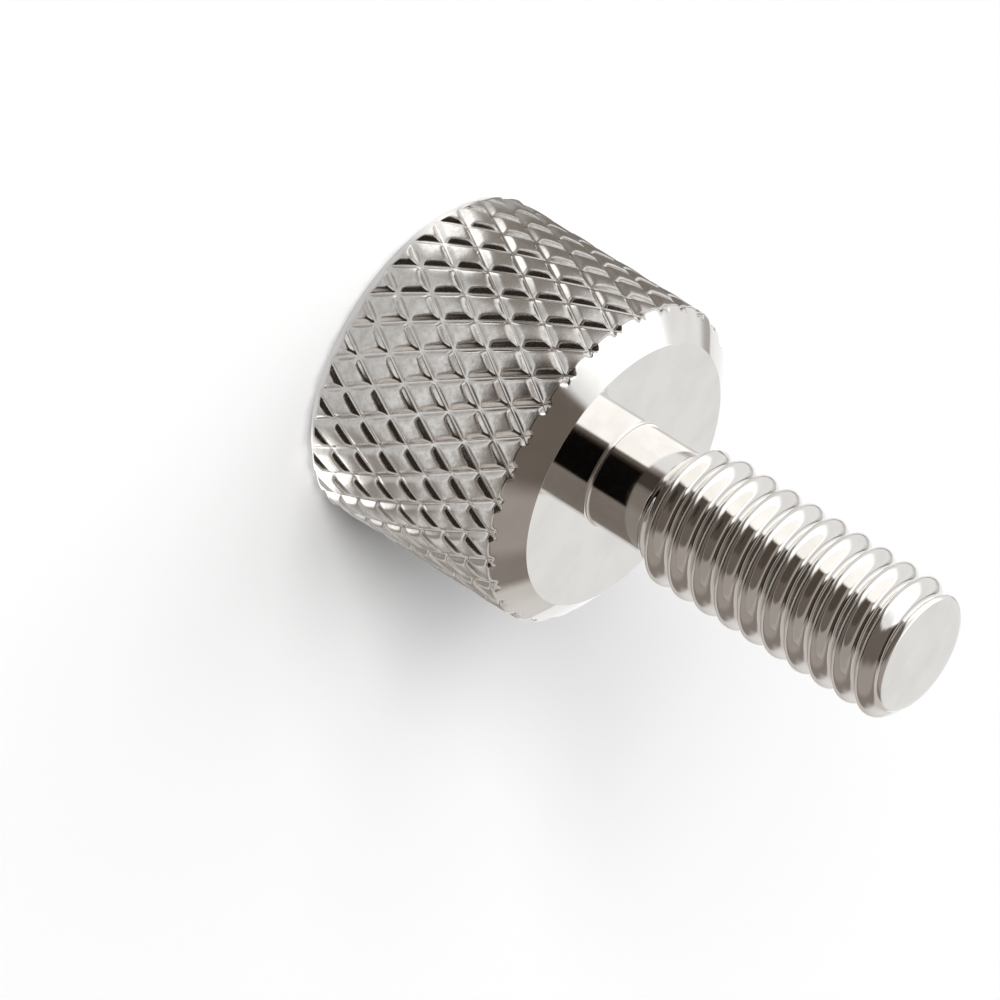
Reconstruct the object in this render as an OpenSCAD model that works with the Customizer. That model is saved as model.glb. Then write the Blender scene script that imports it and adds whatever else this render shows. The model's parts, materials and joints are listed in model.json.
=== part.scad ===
// Knurled thumb screw, turned from one bar and nickel plated.
// It stands on the outer end of its head, with the thread pointing up.
// The axis is Z and the outer end of the head lies on z = 0.

/* [Head] */
// Diameter over the crests of the knurl
head_d = 15.1; // [12:0.1:22]
// Height of the head, from its outer end to the seat
head_len = 11.4; // [7:0.1:18]
// Bevel round the outer end of the head, at 45 degrees
end_bevel = 0.65; // [0.2:0.05:0.9]
// Width of the bevel round the seat, measured across the seat
seat_bevel_w = 1.35; // [0.4:0.05:2]
// Height of the bevel round the seat, measured along the axis
seat_bevel_len = 1; // [0.4:0.05:1.6]

/* [Knurl] */
// Number of grooves that run each way round the head
knurl_count = 30; // [20:2:44]
// Angle between a groove and the axis, in degrees
knurl_angle = 32.5; // [26:0.5:40]
// Depth of the grooves
knurl_depth = 0.25; // [0.15:0.05:0.45]
// Angle between the two sides of a groove, in degrees
groove_angle = 90; // [70:5:110]
// Where the first diamond lies, in degrees round the axis
knurl_turn = 1.1; // [0:0.1:12]

/* [Neck] */
// Length of the plain neck, from the seat to the start of the thread
neck_len = 2.9; // [1.5:0.1:6]
// Depth of the neck below the root of the thread
neck_relief = 0.07; // [0.02:0.01:0.3]
// Radius in the corner between the neck and the seat
neck_fillet = 0.15; // [0.05:0.05:0.4]

/* [Thread] */
// Major diameter of the thread, quarter inch
thread_d = 6.35; // [5:0.05:10]
// Pitch of the thread, twenty turns to the inch
thread_pitch = 1.27; // [0.7:0.01:1.6]
// Length under the head, from the seat to the tip
screw_len = 16.1; // [10:0.1:28]
// Bevel round the tip, at 45 degrees
tip_bevel = 0.4; // [0.3:0.05:1]
// Where the helix starts, in degrees round the axis
thread_turn = 80; // [0:5:355]

/* [Hidden] */
$fn = 96;

total_len = head_len + screw_len;
head_r = head_d / 2;
seat_r = head_r - seat_bevel_w;

// The knurl is a lattice of half steps: u counts round the head, v along it.
// Diamonds are centred where u + v is even, grooves cross where it is odd.
half_step = 180 / knurl_count;
row_h = PI * head_d / knurl_count / tan(knurl_angle) / 2;
groove_w = 2 * knurl_depth * tan(groove_angle / 2);
groove_pitch = PI * head_d * cos(knurl_angle) / knurl_count;
top_share = 1 - groove_w / groove_pitch;
row_lead = 0.75; // share of a row that lies below the end of the head
rows = ceil(head_len / row_h + row_lead) + 1;
blank_spare = 1; // how far the blank reaches outside the knurl

// The thread's form: flanks at 60 degrees to each other, a flat crest and a flat root twice as wide
thread_angle = 60;
sharp_h = thread_pitch / 2 / tan(thread_angle / 2); // height of the form with sharp edges
thread_depth = 5 / 8 * sharp_h;
crest_flat = thread_pitch / 8;
root_flat = thread_pitch / 4;
thread_r = thread_d / 2;
root_r = thread_r - thread_depth;
neck_r = root_r - neck_relief;
crest_from = (thread_pitch + root_flat - crest_flat) / 2;
thread_profile = [
    [0, root_r],
    [root_flat, root_r],
    [crest_from, thread_r],
    [crest_from + crest_flat, thread_r]
];
turn_steps = 36;
thread_start = head_len + neck_len;
helix_turns = ceil((screw_len - neck_len) / thread_pitch) + 2;
helix_steps = helix_turns * turn_steps;
run_out = thread_depth + 2 * neck_relief; // length over which the thread fades at the neck
helix_lead = 1.5 * thread_pitch; // how far the helix starts below the thread
overlap = 1; // how far the neck runs into the head and into the thread
helix_clear = 0.3; // gap between the crests and the sleeve that trims the thread's ends

module thumb_screw() {
    color([0.80, 0.78, 0.75])
        union() {
            knurled_head();
            neck();
            thread();
        }
}

// The bevelled blank, cut by the two sets of grooves
module knurled_head() {
    intersection() {
        rotate([0, 0, knurl_turn])
            knurl_lattice();
        head_blank();
    }
}

module head_blank() {
    outer = head_r + blank_spare;
    rotate_extrude()
        polygon([
            [0, 0],
            [head_r - end_bevel, 0],
            [outer, end_bevel + blank_spare],
            [outer, head_len - seat_bevel_len - blank_spare * seat_bevel_len / seat_bevel_w],
            [seat_r, head_len],
            [0, head_len]
        ]);
}

function on_round(r, u, v) =
    [r * cos(u * half_step), r * sin(u * half_step), (v - row_lead) * row_h];

// Crossing of two grooves nearest below index u, on row v
function crossing(u, v) = v * knurl_count + floor(((u + 2 * knurl_count) % (2 * knurl_count)) / 2);

// First of the four corners of the diamond at u, v: left, right, bottom, top
function corner(u, v) =
    (rows + 1) * knurl_count + 4 * (v * knurl_count + floor((u % (2 * knurl_count)) / 2));

module knurl_lattice() {
    around = [for (i = [0:knurl_count - 1]) 2 * i];
    crossings = [
        for (v = [0:rows])
            for (i = around)
                on_round(head_r - knurl_depth, i + 1 - v % 2, v)
    ];
    corners = [
        for (v = [0:rows])
            for (i = around)
                let (u = i + v % 2)
                    each [
                        on_round(head_r, u - top_share, v),
                        on_round(head_r, u + top_share, v),
                        on_round(head_r, u, v - top_share),
                        on_round(head_r, u, v + top_share)
                    ]
    ];
    upper = [
        for (v = [0:rows - 1])
            for (i = around)
                let (
                    u = i + v % 2,
                    k = corner(u, v),
                    left = crossing(u - 1, v),
                    right = crossing(u + 1, v),
                    up = crossing(u, v + 1)
                )
                    each [
                        [k, k + 3, k + 1],
                        [k, left, up],
                        [k, up, k + 3],
                        [k + 3, up, right],
                        [k + 3, right, k + 1]
                    ]
    ];
    lower = [
        for (v = [1:rows])
            for (i = around)
                let (
                    u = i + v % 2,
                    k = corner(u, v),
                    left = crossing(u - 1, v),
                    right = crossing(u + 1, v),
                    down = crossing(u, v - 1)
                )
                    each [
                        [k, k + 1, k + 2],
                        [k + 1, right, down],
                        [k + 1, down, k + 2],
                        [k + 2, down, left],
                        [k + 2, left, k]
                    ]
    ];
    first_ring = [
        for (i = around)
            each [corner(i, 0), corner(i, 0) + 1, crossing(i + 1, 0)]
    ];
    last_ring = [
        for (i = around)
            let (u = i + rows % 2)
                each [corner(u, rows), corner(u, rows) + 1, crossing(u + 1, rows)]
    ];
    reversed = [for (i = [len(last_ring) - 1:-1:0]) last_ring[i]];
    polyhedron(
        points = concat(crossings, corners),
        faces = concat(upper, lower, [first_ring], [reversed]),
        convexity = 4
    );
}

// The plain neck between the seat and the thread, with a small fillet at the seat
module neck() {
    rotate_extrude() {
        translate([0, head_len - overlap])
            square([neck_r, neck_len + 2 * overlap]);
        difference() {
            translate([0, head_len - neck_fillet])
                square([neck_r + neck_fillet, 2 * neck_fillet]);
            translate([neck_r + neck_fillet, head_len + neck_fillet])
                circle(r = neck_fillet, $fn = 32);
        }
    }
}

// The helical thread, trimmed by a sleeve that runs out at the neck and bevels the tip
module thread() {
    intersection() {
        thread_helix();
        rotate_extrude()
            polygon([
                [0, thread_start],
                [neck_r - neck_relief, thread_start],
                [thread_r + helix_clear, thread_start + run_out + helix_clear],
                [thread_r + helix_clear, total_len - tip_bevel - helix_clear],
                [thread_r - tip_bevel, total_len],
                [0, total_len]
            ]);
    }
}

// One strip of triangles joins each point of the profile to the next, all along the helix
module thread_helix() {
    side = len(thread_profile);
    base_z = thread_start - helix_lead;
    points = [
        for (i = [0:helix_steps + turn_steps])
            for (p = thread_profile)
                let (a = thread_turn + i * 360 / turn_steps)
                    [p[1] * cos(a), p[1] * sin(a), base_z + thread_pitch * i / turn_steps + p[0]]
    ];
    foot = len(points);
    head_point = foot + 1;
    foot_z = base_z;
    head_z = base_z + thread_pitch * (helix_steps / turn_steps + 1);
    strips = [
        for (i = [0:helix_steps - 1])
            for (k = [0:side - 1])
                let (
                    a = i * side + k,
                    b = k < side - 1 ? a + 1 : (i + turn_steps) * side
                )
                    each [
                        [a, b, b + side],
                        [a, b + side, a + side]
                    ]
    ];
    foot_fan = [for (i = [0:turn_steps - 1]) [foot, i * side, (i + 1) * side]];
    last = helix_steps * side;
    head_fan = [
        for (i = [0:turn_steps - 1])
            [head_point, last + (i + 1) * side, last + i * side]
    ];
    foot_seam = concat([foot], [turn_steps * side], [for (k = [side - 1:-1:0]) k]);
    head_seam = concat([head_point], [for (k = [0:side - 1]) last + k], [last + turn_steps * side]);
    polyhedron(
        points = concat(points, [[0, 0, foot_z], [0, 0, head_z]]),
        faces = concat(strips, foot_fan, head_fan, [foot_seam], [head_seam]),
        convexity = 8
    );
}

thumb_screw();
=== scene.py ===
import json
import math

import bpy
import numpy as np
from mathutils import Matrix, Vector


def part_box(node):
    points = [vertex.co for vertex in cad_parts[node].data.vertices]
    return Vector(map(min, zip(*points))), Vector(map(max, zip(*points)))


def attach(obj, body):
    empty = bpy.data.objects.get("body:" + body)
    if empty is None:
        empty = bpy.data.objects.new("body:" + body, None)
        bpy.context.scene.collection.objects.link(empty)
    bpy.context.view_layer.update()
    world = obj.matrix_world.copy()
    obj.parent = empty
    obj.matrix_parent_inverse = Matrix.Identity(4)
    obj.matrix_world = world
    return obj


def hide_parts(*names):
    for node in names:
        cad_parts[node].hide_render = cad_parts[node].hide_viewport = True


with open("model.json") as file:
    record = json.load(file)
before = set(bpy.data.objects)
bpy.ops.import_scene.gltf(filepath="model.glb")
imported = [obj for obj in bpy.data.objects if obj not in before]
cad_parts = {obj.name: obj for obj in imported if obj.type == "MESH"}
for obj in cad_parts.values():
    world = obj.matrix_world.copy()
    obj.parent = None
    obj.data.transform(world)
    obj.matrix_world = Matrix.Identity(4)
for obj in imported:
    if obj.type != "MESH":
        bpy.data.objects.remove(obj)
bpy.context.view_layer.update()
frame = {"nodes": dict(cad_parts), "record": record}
mm = 0.001
print("frame loaded:", ", ".join(sorted(frame["nodes"])))

# sizes that come from the frame
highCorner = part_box("thumb_screw")[1]
mountAt = {m["name"]: m["pos_m"] for m in frame["record"]["mounts"]}
headRadius = highCorner.x  # over the crests of the knurl
seatHeight = mountAt["seat"][2]
tipHeight = highCorner.z


# helpers for surfaces

def smoothMax(a, b, blend):  # the larger value, raised by a parabola where they come within blend
    near = np.maximum(blend - np.abs(a - b), 0) / blend
    return np.maximum(a, b) + near * near * blend / 4


def smoothMin(a, b, blend):  # the smaller value, lowered by the same parabola
    return -smoothMax(-a, -b, blend)


def scatter(a, b):
    # an even spread of -1 to 1 from two whole numbers, the same on each run: what lies behind the
    # point of a sine wave so tall that neighbours have nothing in common
    wave = np.sin(a * 12.9898 + b * 78.233) * 43758.5453
    return 2 * (wave - np.floor(wave)) - 1


def roundedLine(points, radii, steps=4):
    # straight lines through the points, with an arc in place of each inner corner,
    # and a point just outside each end of an arc, which keeps the flats beside it flat
    outside = 0.02 * mm
    pts = [np.array(p, float) for p in points]
    line = [pts[0]]
    for before, here, after, radius in zip(pts, pts[1:], pts[2:], radii):
        a = (before - here) / np.linalg.norm(before - here)
        b = (after - here) / np.linalg.norm(after - here)
        half = math.acos(a @ b) / 2
        reach = radius / math.tan(half)
        centre = here + (a + b) / np.linalg.norm(a + b) * radius / math.sin(half)
        first, last = here + a * reach - centre, here + b * reach - centre
        sweep = math.pi - 2 * half
        line.append(here + a * (reach + outside))
        for t in np.linspace(0, 1, steps + 1):
            turned = first * math.sin((1 - t) * sweep) + last * math.sin(t * sweep)
            line.append(centre + turned / math.sin(sweep))
        line.append(here + b * (reach + outside))
    line.append(pts[-1])
    return np.array(line)


def onRound(radius, angle, height):  # radius, angle and height to x, y and z
    radius, angle, height = np.broadcast_arrays(radius, angle, height)
    return np.stack([radius * np.cos(angle), radius * np.sin(angle), height], -1)


def gridTriangles(ids, rising=True):
    # each cell of a grid of point numbers becomes two triangles, cut along its rising or its
    # falling diagonal. A triangle that has shrunk to a line is left out
    a, b, c, d = ids[:-1, :-1], ids[:-1, 1:], ids[1:, 1:], ids[1:, :-1]
    rising = np.broadcast_to(rising, a.shape)
    one = np.stack([a, b, np.where(rising, c, d)], -1)
    two = np.stack([np.where(rising, a, b), c, d], -1)
    faces = np.concatenate([one.reshape(-1, 3), two.reshape(-1, 3)])
    whole = np.all(faces != np.roll(faces, 1, axis=1), axis=1)
    return faces[whole]


def closed(ids):  # repeats the first column after the last one
    return np.concatenate([ids, ids[:, :1]], 1)


def meshPiece(name, points, faces, finish, material):
    # triangles between the points, shaded smooth, with each value of the finish as an attribute
    mesh = bpy.data.meshes.new(name)
    mesh.vertices.add(len(points))
    mesh.vertices.foreach_set("co", points.astype(np.float32).ravel())
    mesh.loops.add(faces.size)
    mesh.loops.foreach_set("vertex_index", faces.astype(np.int32).ravel())
    mesh.polygons.add(len(faces))
    mesh.polygons.foreach_set("loop_start", np.arange(0, faces.size, 3, dtype=np.int32))
    mesh.update(calc_edges=True)
    for layer, values in finish.items():
        attribute = mesh.attributes.new(layer, "FLOAT", "POINT")
        attribute.data.foreach_set("value", values.astype(np.float32))
    mesh.validate()
    mesh.shade_smooth()
    mesh.materials.append(material)
    piece = bpy.data.objects.new(name, mesh)
    bpy.context.scene.collection.objects.link(piece)
    return piece


# the head

head = {
    "knurlCount": 30,  # grooves each way round the head
    "knurlAngle": math.radians(32.5),  # of a groove to the axis
    "knurlDepth": 0.25 * mm,
    "grooveSlope": 1.0,  # depth gained per width, for a groove of 90 degrees
    "knurlLead": 0.75,  # share of a row below the end of the head
    "knurlTurn": math.radians(1.1),  # where the first diamond lies round the axis
    "grooveFloor": 0.03 * mm,  # roundness of the bottom of a groove
    "crestRound": 0.06 * mm,
    "crown": 0.055 * mm,  # how far a diamond falls away from its middle to the groove
    "lean": 0.03,  # slope by which diamonds differ from each other
    "endBevel": 0.65 * mm,
    "seatBevelWidth": 1.35 * mm,
    "seatBevelHeight": 1.0 * mm,
    "edgeRound": 0.05 * mm,
    "grooveCoarse": 0.6,  # roughness of the grooves, as a share of that of the tops
    "samples": 9,  # of the grid to each half step of the knurl
    "bevelSpare": 0.12 * mm,  # how far the bevels run on past the crests
    "bevelStep": 0.045 * mm,  # between the rows of a bevel
    "rowGap": 0.4,  # least gap between a bevel's rows and the knurl's, as a share of a cell
    "poleRadius": 0.002 * mm,  # of the first ring, which a point replaces
}


def knurlAt(turn, row):
    # turn and row count half steps round the head and along it. Diamonds lie where their sum is
    # even. Height falls in two families of V grooves, and between them in a low crown that leans a
    # little on each diamond. The results are the depth, and 1 on a diamond's top to 0 in a groove
    count = head["knurlCount"]
    spacing = 2 * math.pi * headRadius * math.cos(head["knurlAngle"]) / count
    phases = (turn + row) / 2, (turn - row) / 2
    whole = [np.round(phase) for phase in phases]
    along, around = whole[0] - whole[1], (whole[0] + whole[1]) % (2 * count)
    rounded = head["grooveFloor"]
    grooves, top = [], 0
    for phase, middle, seed in zip(phases, whole, (0, 17)):
        offset = phase - middle  # 0 in the middle of a diamond, half in a groove
        away = (0.5 - np.abs(offset)) * spacing
        bed = np.sqrt(away * away + rounded * rounded) - rounded
        grooves.append(head["knurlDepth"] - bed * head["grooveSlope"])
        lean = head["lean"] * scatter(along + seed, around) * offset * spacing
        mostLean = head["lean"] * spacing / 4  # keeps a leaning top below the radius of the head
        top = top + head["crown"] * (2 * offset) ** 2 + lean + mostLean
    groove = smoothMax(*grooves, head["crestRound"] / 2)
    onTop = np.clip((top - groove) / (2 * head["crestRound"]) + 0.5, 0, 1)
    return smoothMax(top, groove, head["crestRound"]), onTop


def headProfiles(joinRadius):
    # the blank's outline below the knurled band and above it, as radius and height: the end face
    # with its bevel, and the seat's bevel with the seat. The bevels run on past the crests
    width, rise = head["seatBevelWidth"], head["seatBevelHeight"]
    spare, step = head["bevelSpare"], head["bevelStep"]
    endRadius, seatRadius = headRadius - head["endBevel"], headRadius - width
    low = roundedLine([(head["poleRadius"], 0), (endRadius, 0),
                       (headRadius + spare, head["endBevel"] + spare)], [head["edgeRound"]])
    steps = np.arange(low[-2][1] + step, low[-1][1], step)
    low = np.concatenate([low[:-1], np.stack([endRadius + steps, steps], -1)])
    high = roundedLine([(headRadius + spare, seatHeight - rise - spare * rise / width),
                        (seatRadius, seatHeight), (joinRadius, seatHeight)], [head["edgeRound"]])
    steps = np.arange(high[0][1], high[1][1] - step, step)
    slope = np.stack([seatRadius + (seatHeight - steps) * width / rise, steps], -1)
    return low, np.concatenate([slope, high[1:]])


def headSurface(joinRadius):
    # the outline carried round the axis, each radius held below the knurl's. Between the bevels the
    # rows and columns keep step with the knurl, so that each groove runs along the diagonals of its
    # cells. The results are the points, which way each cell is cut, and how rough each point is:
    # 0 where it was turned, more in the grooves and 1 on the tops of the diamonds
    halfStep = math.pi / head["knurlCount"]
    rowHeight = halfStep * headRadius / math.tan(head["knurlAngle"])
    cell = 1 / head["samples"]
    turn = np.arange(2 * head["knurlCount"] * head["samples"]) * cell
    low, high = headProfiles(joinRadius)
    lead, gap = head["knurlLead"], head["rowGap"]
    firstRow = math.ceil((low[-1][1] / rowHeight + lead) / cell + gap)
    lastRow = math.floor((high[0][1] / rowHeight + lead) / cell - gap)
    height = (np.arange(firstRow, lastRow + 1) * cell - lead) * rowHeight
    between = np.full_like(height, headRadius + mm)  # well outside the knurl
    outline = np.concatenate([low, np.stack([between, height], -1), high])
    blank, row = outline[:, :1], outline[:, 1:] / rowHeight + lead
    depth, onTop = knurlAt(turn[None], row)
    radius = smoothMin(blank, headRadius - depth, head["crestRound"])
    points = onRound(radius, (turn * halfStep + head["knurlTurn"])[None], outline[:, 1:])

    # a cell is cut along whichever groove lies nearer to it
    midTurn, midRow = (turn + cell / 2)[None], (row[1:] + row[:-1]) / 2
    phases = (midTurn + midRow) / 2, (midTurn - midRow) / 2
    sumAway, differenceAway = [np.abs(phase - np.round(phase)) for phase in phases]

    knurled = np.clip((blank - headRadius + depth) / head["crestRound"], 0, 1)
    grooveShare = head["grooveCoarse"]
    return points, differenceAway > sumAway, knurled * (grooveShare + (1 - grooveShare) * onTop)


# neck and thread

shank = {
    "columns": 108,  # points round the axis, a whole part of the head's
    "neckLength": 2.9 * mm,
    "neckRelief": 0.07 * mm,  # below the root of the thread
    "neckBlend": 0.02 * mm,  # over which the thread rises out of the neck
    "neckShort": 0.15 * mm,  # from the neck's last ring to the start of the thread
    "neckFillet": 0.15 * mm,
    "fanOuter": 0.55 * mm,  # from the fillet out to where the neck's columns meet the head's
    "fanWidth": 0.2 * mm,
    "radius": 3.175 * mm,
    "pitch": 1.27 * mm,
    "depthShare": 0.5413,  # of the pitch, five eighths of the height of a sharp form
    "crestShare": 0.125,
    "flankAngle": math.radians(30),
    "crestRound": 0.16 * mm,
    "rootRound": 0.25 * mm,
    "threadTurn": math.radians(80),
    "crestBelow": 0.875,  # pitches from the start of the thread down to the crest at that turn
    "rowShares": (0, 0.05, 0.08, 0.115, 0.2, 0.28, 0.35, 0.41, 0.46, 0.5),  # from a crest to a root
    "tipBevel": 0.4 * mm,
    "tipBlend": 0.3 * mm,  # over which the bevel flows into the crests
    "tipRound": 0.3 * mm,
    # how far in and up each ring of the tip's edge lies, as shares of tipRound
    "tipEdge": ((0.12, 0.15), (0.35, 0.33), (0.65, 0.47), (1.0, 0.56), (1.4, 0.6), (1.8, 0.6)),
    "tipRings": (0.6, 0.3),  # of the flat face, as shares of its radius
}
threadStart = seatHeight + shank["neckLength"]
rootRadius = shank["radius"] - shank["depthShare"] * shank["pitch"]
neckRadius = rootRadius - shank["neckRelief"]
turnsBelow = shank["crestBelow"] + shank["threadTurn"] / (2 * math.pi)
crestAtStart = threadStart - shank["pitch"] * turnsBelow  # height of a crest at turn 0


def shankRadius(angle, height):
    # a crest climbs one pitch to the turn. The radius falls from it at 60 degrees between flanks to
    # the root, with both rounded, and is held below a cone at the neck and below the tip's bevel
    pitch, crestRadius = shank["pitch"], shank["radius"]
    along = (height - crestAtStart) / pitch - angle / (2 * math.pi)
    away = np.abs((along + 0.5) % 1 - 0.5) * pitch
    flank = crestRadius - (away - shank["crestShare"] * pitch / 2) / math.tan(shank["flankAngle"])
    crest = smoothMin(crestRadius, flank, shank["crestRound"])
    radius = smoothMax(crest, rootRadius, shank["rootRound"])
    cone = neckRadius + np.maximum(height - threadStart, -mm)
    radius = smoothMin(radius, cone, shank["crestRound"])
    bevel = crestRadius - shank["tipBevel"] + tipHeight - height
    radius = smoothMin(radius, bevel, shank["tipBlend"])
    raised = smoothMax(radius, neckRadius, shank["neckBlend"])
    return np.where(height < threadStart + mm, raised, radius)


def threadRows(low, high):
    # rows of heights that climb with the crest, so that a row's end meets the start of the row one
    # pitch above it. They lie closest where the form bends, and those that pass between low and
    # high are kept, with a few spare
    share = np.array(shank["rowShares"])
    share = np.concatenate([share, 1 - share[-2:0:-1]])
    pitch, spare = shank["pitch"], 0.2
    turns = np.arange(-3, math.ceil((high - crestAtStart) / pitch) + 2)
    start = (crestAtStart + pitch * (turns[:, None] + share)).ravel()
    start = start[(start > low - (1 + spare) * pitch) & (start < high + spare * pitch)]
    return start[:, None] + pitch * np.linspace(0, 1, shank["columns"] + 1), len(share)


def fans(outer, inner):
    # joins a ring of many points to one of fewer: each inner point holds a fan of triangles over
    # its share of the outer edges, and one more triangle fills the gap between two fans
    per = (len(outer) - 1) // (len(inner) - 1)
    middle = per // 2
    faces = []
    for k in range(per):
        tips = inner[:-1] if k <= middle else inner[1:]
        faces.append(np.stack([outer[k:-1:per], outer[k + 1::per], tips], -1))
    faces.append(np.stack([outer[middle + 1:-1:per], inner[1:], inner[:-1]], -1))
    return np.concatenate(faces)


def tipRings(radius, low, angle):
    # the ring at height low shrinks as it rises over a rounded edge, and then on the flat face
    size = shank["tipRound"]
    edge = [onRound(radius - inward * size, angle, low + up * size)
            for inward, up in shank["tipEdge"]]
    flat = [onRound(radius * share, angle, tipHeight) for share in shank["tipRings"]]
    return np.stack(edge + flat)


def screwPiece(material):
    # one closed surface from the middle of the head's outer end to the middle of the tip: grids of
    # points for head, neck, thread and tip, each joined to the ring before it
    joinRadius = neckRadius + shank["neckFillet"] + shank["fanOuter"]
    angle = np.linspace(0, 2 * math.pi, shank["columns"] + 1)
    points, coarse, faces = [], [], []

    def put(grid, rough=0):  # keeps a grid of points and returns their numbers
        count = sum(len(p) for p in points)
        points.append(grid.reshape(-1, 3))
        coarse.append(np.broadcast_to(rough, grid.shape[:-1]).ravel())
        return np.arange(count, count + len(points[-1])).reshape(grid.shape[:-1])

    # head
    headPoints, rising, rough = headSurface(joinRadius)
    pole = put(np.zeros((1, 1, 3)))
    headIds = put(headPoints[1:], rough[1:])
    bottom = np.full_like(headIds[:1], pole[0, 0])
    faces.append(gridTriangles(closed(np.concatenate([bottom, headIds])), rising))

    # neck
    neckEnd = threadStart - shank["neckShort"]
    outline = roundedLine([(joinRadius - shank["fanWidth"], seatHeight), (neckRadius, seatHeight),
                           (neckRadius, neckEnd)], [shank["neckFillet"]], steps=5)
    neckIds = put(onRound(outline[:, :1], angle[None, :-1], outline[:, 1:]))
    faces.append(gridTriangles(closed(neckIds)))
    faces.append(fans(closed(headIds[-1:])[0], closed(neckIds[:1])[0]))

    # thread, whose rows are held between two level rings
    low, high = neckEnd, tipHeight - shank["tipEdge"][-1][1] * shank["tipRound"]
    height, rowsPerPitch = threadRows(low, high)
    held = np.clip(height, low, high)
    threadIds = np.zeros(height.shape, int)
    threadIds[:, :-1] = put(onRound(shankRadius(angle, held), angle, held)[:, :-1])
    threadIds[:-rowsPerPitch, -1] = threadIds[rowsPerPitch:, 0]
    tipRadius = shankRadius(angle[:-1], high)
    highRing = closed(put(onRound(tipRadius, angle[:-1], high)[None]))
    threadIds = np.where(height <= low, closed(neckIds[-1:]), threadIds)
    threadIds = np.where(height >= high, highRing, threadIds)
    faces.append(gridTriangles(threadIds))

    # tip
    tipIds = put(tipRings(tipRadius, high, angle[:-1]))
    top = np.full_like(tipIds[:1], put(np.array([[[0, 0, tipHeight]]]))[0, 0])
    faces.append(gridTriangles(closed(np.concatenate([highRing[:, :-1], tipIds, top]))))

    points, coarse, faces = np.concatenate(points), np.concatenate(coarse), np.concatenate(faces)
    used, renumbered = np.unique(faces, return_inverse=True)
    return meshPiece("knurled_thumb_screw", points[used], renumbered.reshape(faces.shape),
                     {"coarse": coarse[used]}, material)


# finish

nickel = {
    "colour": "#dad8d5",
    "shade": "#c2bdb7",  # where the plating is thinner or has dulled
    "polished": 0.07,  # roughness of seat, neck and thread
    "rolled": 0.24,  # roughness of the tops of the diamonds
    "uneven": 0.25,  # share by which the marks on the diamonds change the roughness
    "mottle": 0.28 * mm,  # size of the marks on the diamonds
    "mottleHeight": 0.006 * mm,
    "turning": 0.16 * mm,  # real feed marks lie 0.05 mm apart, drawn coarser so that they show
    "turningHeight": 0.0004 * mm,
    "wave": 1.6 * mm,  # slow waviness under the plating
    "waveHeight": 0.0025 * mm,
    "waveShade": 0.25,  # most that the waves dull the colour
}


def linear(hexColour):  # sRGB hex to linear red, green, blue and 1
    parts = [int(hexColour[i:i + 2], 16) / 255 for i in (1, 3, 5)]
    return [c / 12.92 if c <= 0.04045 else ((c + 0.055) / 1.055) ** 2.4 for c in parts] + [1]


def addNode(tree, kind, links=None, inputs=None, **settings):
    # a node with its settings, the sockets that feed its inputs and the values of the others
    node = tree.nodes.new(kind)
    for key, value in settings.items():
        setattr(node, key, value)
    for key, value in (inputs or {}).items():
        node.inputs[key].default_value = value
    for key, socket in (links or {}).items():
        tree.links.new(socket, node.inputs[key])
    return node


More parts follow.
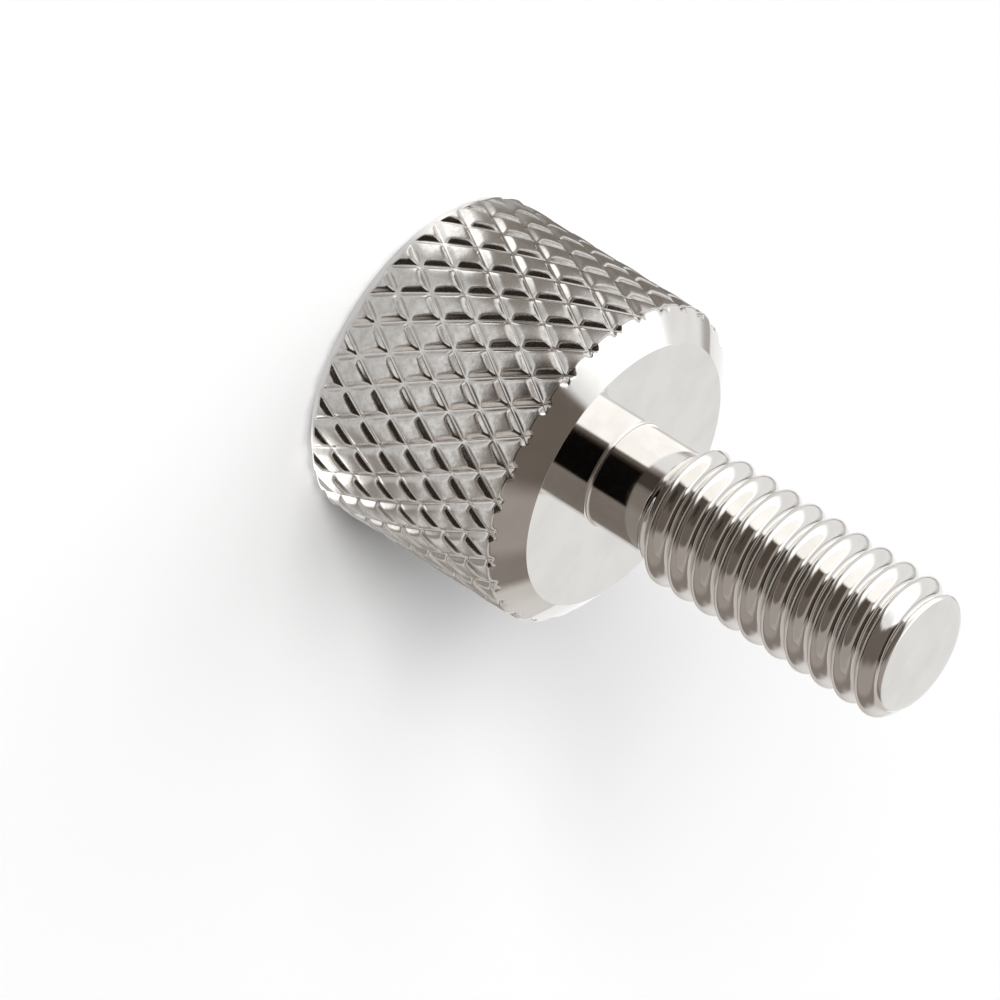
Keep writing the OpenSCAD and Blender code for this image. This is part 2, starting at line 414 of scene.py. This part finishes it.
def brightNickel():
    # bright nickel over turned steel: a warm pale mirror with faint rings from the lathe, and a
    # soft satin gleam on the diamonds, whose tops keep the marks of rolling
    material = bpy.data.materials.new("bright_nickel_plate")
    material.use_nodes = True
    tree = material.node_tree
    shader = tree.nodes["Principled BSDF"]
    shader.inputs["Metallic"].default_value = 1
    place = addNode(tree, "ShaderNodeTexCoord").outputs["Object"]
    coarse = addNode(tree, "ShaderNodeAttribute", attribute_name="coarse").outputs["Fac"]

    # rings: noise over radius and height, which hardly changes round the axis
    axes = addNode(tree, "ShaderNodeSeparateXYZ", {0: place})
    flat = addNode(tree, "ShaderNodeVectorMath", {0: place}, {1: (1, 1, 0)}, operation="MULTIPLY")
    radius = addNode(tree, "ShaderNodeVectorMath", {0: flat.outputs[0]}, operation="LENGTH")
    slow = addNode(tree, "ShaderNodeMath", {0: axes.outputs["X"]}, {1: 0.06}, operation="MULTIPLY")
    rings = addNode(tree, "ShaderNodeCombineXYZ", {
        "X": radius.outputs["Value"], "Y": axes.outputs["Z"], "Z": slow.outputs[0]}).outputs[0]
    turning = addNode(tree, "ShaderNodeTexNoise", {"Vector": rings}, {
        "Scale": 1 / nickel["turning"], "Detail": 2, "Roughness": 0.6}).outputs["Fac"]
    mottle = addNode(tree, "ShaderNodeTexNoise", {"Vector": place}, {
        "Scale": 1 / nickel["mottle"], "Detail": 3, "Roughness": 0.6}).outputs["Fac"]
    wave = addNode(tree, "ShaderNodeTexNoise", {"Vector": place}, {
        "Scale": 1 / nickel["wave"], "Detail": 2, "Roughness": 0.5}).outputs["Fac"]

    # roughness: from polished to rolled, uneven where it is rolled
    base = addNode(tree, "ShaderNodeMapRange", {"Value": coarse}, {
        "To Min": nickel["polished"], "To Max": nickel["rolled"]}).outputs[0]
    uneven = addNode(tree, "ShaderNodeMapRange", {"Value": mottle}, {
        "From Min": 0.3, "From Max": 0.7,
        "To Min": 1 - nickel["uneven"], "To Max": 1 + nickel["uneven"]}).outputs[0]
    rough = addNode(tree, "ShaderNodeMath", {0: base, 1: uneven}, operation="MULTIPLY").outputs[0]
    tree.links.new(rough, shader.inputs["Roughness"])

    # colour: a little duller in patches, most of all on the diamonds
    marks = addNode(tree, "ShaderNodeMapRange", {"Value": mottle}, {
        "From Min": 0.35, "From Max": 0.75}).outputs[0]
    marks = addNode(tree, "ShaderNodeMath", {0: marks, 1: coarse}, operation="MULTIPLY").outputs[0]
    faded = addNode(tree, "ShaderNodeMapRange", {"Value": wave}, {
        "From Min": 0.4, "From Max": 0.7, "To Max": nickel["waveShade"]}).outputs[0]
    dull = addNode(tree, "ShaderNodeMath", {0: marks, 1: faded}, operation="MAXIMUM").outputs[0]
    colour = addNode(tree, "ShaderNodeMix", {"Factor": dull}, {
        6: linear(nickel["colour"]), 7: linear(nickel["shade"])}, data_type="RGBA").outputs[2]
    tree.links.new(colour, shader.inputs["Base Color"])

    # relief: waves, then rings on what was turned, then marks on what was rolled
    smooth = addNode(tree, "ShaderNodeMapRange", {"Value": coarse}, {
        "From Max": 0.3, "To Min": 1, "To Max": 0}).outputs[0]
    turned = addNode(tree, "ShaderNodeMath", {0: turning, 1: smooth}, operation="MULTIPLY")
    rolled = addNode(tree, "ShaderNodeMath", {0: mottle, 1: coarse}, operation="MULTIPLY")
    bump = addNode(tree, "ShaderNodeBump", {"Height": wave}, {"Distance": nickel["waveHeight"]})
    bump = addNode(tree, "ShaderNodeBump", {"Height": turned.outputs[0], "Normal": bump.outputs[0]},
                   {"Distance": nickel["turningHeight"]})
    bump = addNode(tree, "ShaderNodeBump", {"Height": rolled.outputs[0], "Normal": bump.outputs[0]},
                   {"Distance": nickel["mottleHeight"]})
    tree.links.new(bump.outputs[0], shader.inputs["Normal"])
    return material


screw = screwPiece(brightNickel())
print("screw:", len(screw.data.vertices), "points,", len(screw.data.polygons), "triangles")
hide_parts("thumb_screw")
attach(screw, "root")


# what the plating mirrors

def laidOver(tree, colour, glow, edges, path):
    # lays a glow's light over a colour where every edge holds: a value that lies below its limit,
    # with a smooth step as wide as its softness. A glow with bounces is seen only by a ray that has
    # met the plating that often, in a mirror image of a mirror
    shares = []
    for value, limit, soft in edges:
        shares.append(addNode(tree, "ShaderNodeMapRange", {"Value": value}, {
            "From Min": limit + soft / 2, "From Max": limit - soft / 2},
            interpolation_type="SMOOTHSTEP").outputs[0])
    if "bounces" in glow:
        shares.append(addNode(tree, "ShaderNodeMath", {0: path.outputs["Glossy Depth"]}, {
            1: glow["bounces"] - 0.5}, operation="GREATER_THAN").outputs[0])
    share = shares[0]
    for other in shares[1:]:
        share = addNode(tree, "ShaderNodeMath", {0: share, 1: other},
                        operation="MULTIPLY").outputs[0]
    light = [c * glow.get("level", 1) for c in linear(glow["colour"])[:3]] + [1]
    return addNode(tree, "ShaderNodeMix", {"Factor": share, 6: colour}, {7: light},
                   data_type="RGBA").outputs[2]


# floor

floor = {
    "size": 4.0,  # metres
    "under": 0.01 * mm,  # a hair below the screw
    "colour": "#fdfdfd",
    "paintedReflection": "#d6d0cb",  # painted reflection: what the plating sees of the table far from the screw
    # painted reflections: round patches of painted light and painted shade on the table, in mm, as
    # the plating sees them, each over the ones before it. A level multiplies the colour, and is 1
    # where none is given
    "patches": [
        # painted shade on the table round the screw
        {"colour": "#9c958e", "centre": (6, 0), "radius": 30, "soft": 6},
        # painted shade on the table in front
        {"colour": "#8b837b", "centre": (15, -66), "radius": 46, "soft": 10},
        {"colour": "#6b6259", "centre": (-18, -52), "radius": 30, "soft": 8},
        # painted light where the soft box lights the table, and the same in a second mirror
        {"colour": "#ffffff", "level": 1.08, "centre": (-770, 640), "radius": 999, "soft": 6},
        {"colour": "#ffffff", "level": 2.1, "bounces": 2,
         "centre": (-770, 640), "radius": 999, "soft": 6},
        # painted shade, a dark spot on the table in front of the screw
        {"colour": "#4a423c", "centre": (-8, -29), "radius": 8, "soft": 4},
        # painted light and painted shade on the paper round the head and under its bevel
        {"colour": "#ffffff", "level": 0.98, "centre": (2, -1), "radius": 22, "soft": 4},
        {"colour": "#ffffff", "level": 0.72, "centre": (0, 0), "radius": 14, "soft": 6},
        # painted shade on both sides of the head, and in each a painted highlight close to it
        {"colour": "#a09a94", "centre": (-15, -7), "radius": 9, "soft": 6},
        {"colour": "#a7a19b", "centre": (13, -4), "radius": 6, "soft": 5},
        {"colour": "#ffffff", "level": 1.7, "centre": (-7, -6.5), "radius": 2.5, "soft": 3},
        {"colour": "#ffffff", "level": 2, "centre": (8, -2.5), "radius": 2.5, "soft": 3},
        # painted shade behind it
        {"colour": "#8f8983", "centre": (-16, 8.5), "radius": 11, "soft": 5},
        {"colour": "#a9a5a1", "centre": (15, 13), "radius": 9, "soft": 8},
    ],
}


def paperFloor():
    # matt white paper, which shows only the soft shadow. The plating sees the patches instead, a
    # painted reflection that glows from the paper
    material = bpy.data.materials.new("white_paper_with_painted_reflections")
    material.use_nodes = True
    tree = material.node_tree
    shader, output = tree.nodes["Principled BSDF"], tree.nodes["Material Output"]
    shader.inputs["Base Color"].default_value = linear(floor["colour"])
    shader.inputs["Roughness"].default_value = 1
    shader.inputs["Specular IOR Level"].default_value = 0
    place = addNode(tree, "ShaderNodeTexCoord").outputs["Object"]
    path = addNode(tree, "ShaderNodeLightPath")
    colour = addNode(tree, "ShaderNodeRGB").outputs[0]
    colour.default_value = linear(floor["paintedReflection"])
    for patch in floor["patches"]:
        centre = Vector((*patch["centre"], 0)) * mm
        away = addNode(tree, "ShaderNodeVectorMath", {0: place}, {1: centre},
                       operation="DISTANCE").outputs["Value"]
        edge = away, patch["radius"] * mm, patch["soft"] * mm
        colour = laidOver(tree, colour, patch, [edge], path)
    # the painted reflection glows to glossy rays only, while the camera sees the paper
    paintedReflection = addNode(tree, "ShaderNodeEmission", {"Color": colour}).outputs[0]
    seen = addNode(tree, "ShaderNodeMixShader", {
        0: path.outputs["Is Glossy Ray"], 1: shader.outputs[0], 2: paintedReflection}).outputs[0]
    tree.links.new(seen, output.inputs["Surface"])
    half, low = floor["size"] / 2, -floor["under"]
    corners = [(-half, -half, low), (half, -half, low), (half, half, low), (-half, half, low)]
    mesh = bpy.data.meshes.new("floor")
    mesh.from_pydata(corners, [], [(0, 1, 2, 3)])
    mesh.materials.append(material)
    sheet = bpy.data.objects.new("floor", mesh)
    bpy.context.scene.collection.objects.link(sheet)


paperFloor()
print("floor:", len(floor["patches"]), "patches")


# camera

camera = {
    "elevation": math.radians(27.6),
    "roll": math.radians(122.0),
    "distance": 0.6,
    "viewWidth": 41.84 * mm,  # at the screw
    "sensor": 36,  # mm
    "aimHeight": 11.84 * mm,  # of the point on the axis that the next two lead away from
    "aimRight": 3.65 * mm,
    "aimUp": -4.23 * mm,
}


def placeCamera():
    # in front of the screw and above it, turned about its line of sight, far away with a long lens
    low = camera["elevation"]
    back = Vector((0, -math.cos(low), math.sin(low)))
    right, up = Vector((1, 0, 0)), Vector((0, math.sin(low), math.cos(low)))
    data = bpy.data.cameras.new("camera")
    data.sensor_width = camera["sensor"]
    data.lens = camera["sensor"] * camera["distance"] / camera["viewWidth"]
    data.clip_start, data.clip_end = 0.05, 20
    holder = bpy.data.objects.new("camera", data)
    bpy.context.scene.collection.objects.link(holder)
    aim = Vector((0, 0, camera["aimHeight"])) + right * camera["aimRight"] + up * camera["aimUp"]
    turned = Matrix.Rotation(camera["roll"], 3, "Z")
    axes = Matrix((right, up, back)).transposed() @ turned
    holder.matrix_world = Matrix.Translation(aim + back * camera["distance"]) @ axes.to_4x4()
    bpy.context.scene.camera = holder


placeCamera()
bpy.context.scene.view_settings.view_transform = "Standard"


# studio

# where each lamp shines from, how strongly, and how many degrees wide it is
lamps = [
    {"from": (-0.2, -0.95, 0.57), "strength": 2.0, "spread": 20},
    {"from": (-0.45, -0.9, 1.0), "strength": 1.3, "spread": 34},
    {"from": (-1.0, -0.15, 0.8), "strength": 1.2, "spread": 80},
]
studio = {
    "ambient": 0.15,  # level of the light on matt things
    "walls": "#b0a8a1",
    # what the plating mirrors above the floor. Each card fills the directions that lie within all
    # of its edges, given as a middle, degrees from it and degrees of softness, and covers the cards
    # before it
    "cards": [
        # side wall, paler below
        {"colour": "#958d86", "edges": [((0.53, 0.85, 0), 90, 24), ((0, 0, -1), 131, 8)]},
        {"colour": "#e0dbd6", "edges": [((0.53, 0.85, 0), 90, 24), ((0, 0, -1), 115, 6)]},
        # ceiling
        {"colour": "#756c64", "edges": [((0, -0.2, 0.98), 26, 12)]},
        # pale wall beside the soft box, and the soft box
        {"colour": "#ffffff", "level": 1.06, "edges": [((-1, 0.5, 0), 80, 5)]},
        {"colour": "#ffffff", "level": 2,
         "edges": [((-1, 0.5, 0), 78, 14), ((0, 0, -1), 154, 20), ((0, 0, 1), 58, 10)]},
        # edge of the bench
        {"colour": "#a9a29c", "edges": [((-1, 0.2, 0), 72, 8), ((0, 0, -1), 97, 6)]},
        # the soft box in a second mirror
        {"colour": "#ffffff", "level": 2, "bounces": 2,
         "edges": [((-1, 0.5, 0), 80, 5), ((0, 0, -1), 154, 16)]},
        # pale wall behind
        {"colour": "#ffffff", "level": 1.02, "edges": [((0, 0.89, 0.45), 30, 14)]},
        # dark room in front, with darker things in it
        {"colour": "#7a7169",
         "edges": [((0.82, -0.57, 0), 90, 6), ((-0.6, -0.8, 0), 90, 18), ((0, 0, -1), 155, 14)]},
        {"colour": "#5e554d", "edges": [((0.13, -0.97, 0.25), 32, 8), ((-0.996, 0.09, 0), 90, 5)]},
        {"colour": "#453d36",
         "edges": [((0.88, -0.47, 0), 90, 5), ((-0.72, -0.69, 0), 90, 5), ((0, 0, -1), 137, 6)]},
        {"colour": "#2e2722", "edges": [((0.12, -0.99, 0), 42, 8), ((0, 0, -1), 107, 5)]},
        # black, where the neck mirrors the seat and the seat mirrors the room
        {"colour": "#0c0b0a", "bounces": 2,
         "edges": [((0.25, -0.85, 0.46), 34, 6), ((0, 0, 1), 72, 4)]},
    ],
}


def studioWorld():
    # white to the camera, an even level to matt things and the cards to the plating. An edge's
    # value is the angle between a ray and the edge's middle
    world = bpy.data.worlds.new("studio")
    world.use_nodes = True
    tree = world.node_tree
    tree.nodes.clear()
    direction = addNode(tree, "ShaderNodeTexCoord").outputs["Generated"]
    path = addNode(tree, "ShaderNodeLightPath")
    colour = addNode(tree, "ShaderNodeRGB").outputs[0]
    colour.default_value = linear(studio["walls"])
    for card in studio["cards"]:
        edges = []
        for middle, reach, soft in card["edges"]:
            along = addNode(tree, "ShaderNodeVectorMath", {0: direction}, {
                1: Vector(middle).normalized()}, operation="DOT_PRODUCT").outputs["Value"]
            angle = addNode(tree, "ShaderNodeMath", {0: along}, operation="ARCCOSINE").outputs[0]
            edges.append((angle, math.radians(reach), math.radians(soft)))
        colour = laidOver(tree, colour, card, edges, path)
    level, white = studio["ambient"], 1
    for ray, shade in (("Is Diffuse Ray", level), ("Is Camera Ray", white)):
        colour = addNode(tree, "ShaderNodeMix", {"Factor": path.outputs[ray], 6: colour}, {
            7: (shade, shade, shade, 1)}, data_type="RGBA").outputs[2]
    light = addNode(tree, "ShaderNodeBackground", {"Color": colour}).outputs[0]
    addNode(tree, "ShaderNodeOutputWorld", {"Surface": light})
    bpy.context.scene.world = world


def softLamps():
    # wide distant lamps that give the floor its soft shadow. The plating sees the cards instead
    for number, lamp in enumerate(lamps):
        light = bpy.data.lights.new("soft_lamp_%d" % number, "SUN")
        light.energy = lamp["strength"]
        light.angle = math.radians(lamp["spread"])
        holder = bpy.data.objects.new(light.name, light)
        holder.rotation_euler = Vector(lamp["from"]).to_track_quat("Z", "Y").to_euler()
        holder.visible_glossy = False
        bpy.context.scene.collection.objects.link(holder)


studioWorld()
softLamps()
print("studio:", len(studio["cards"]), "cards,", len(lamps), "lamps")
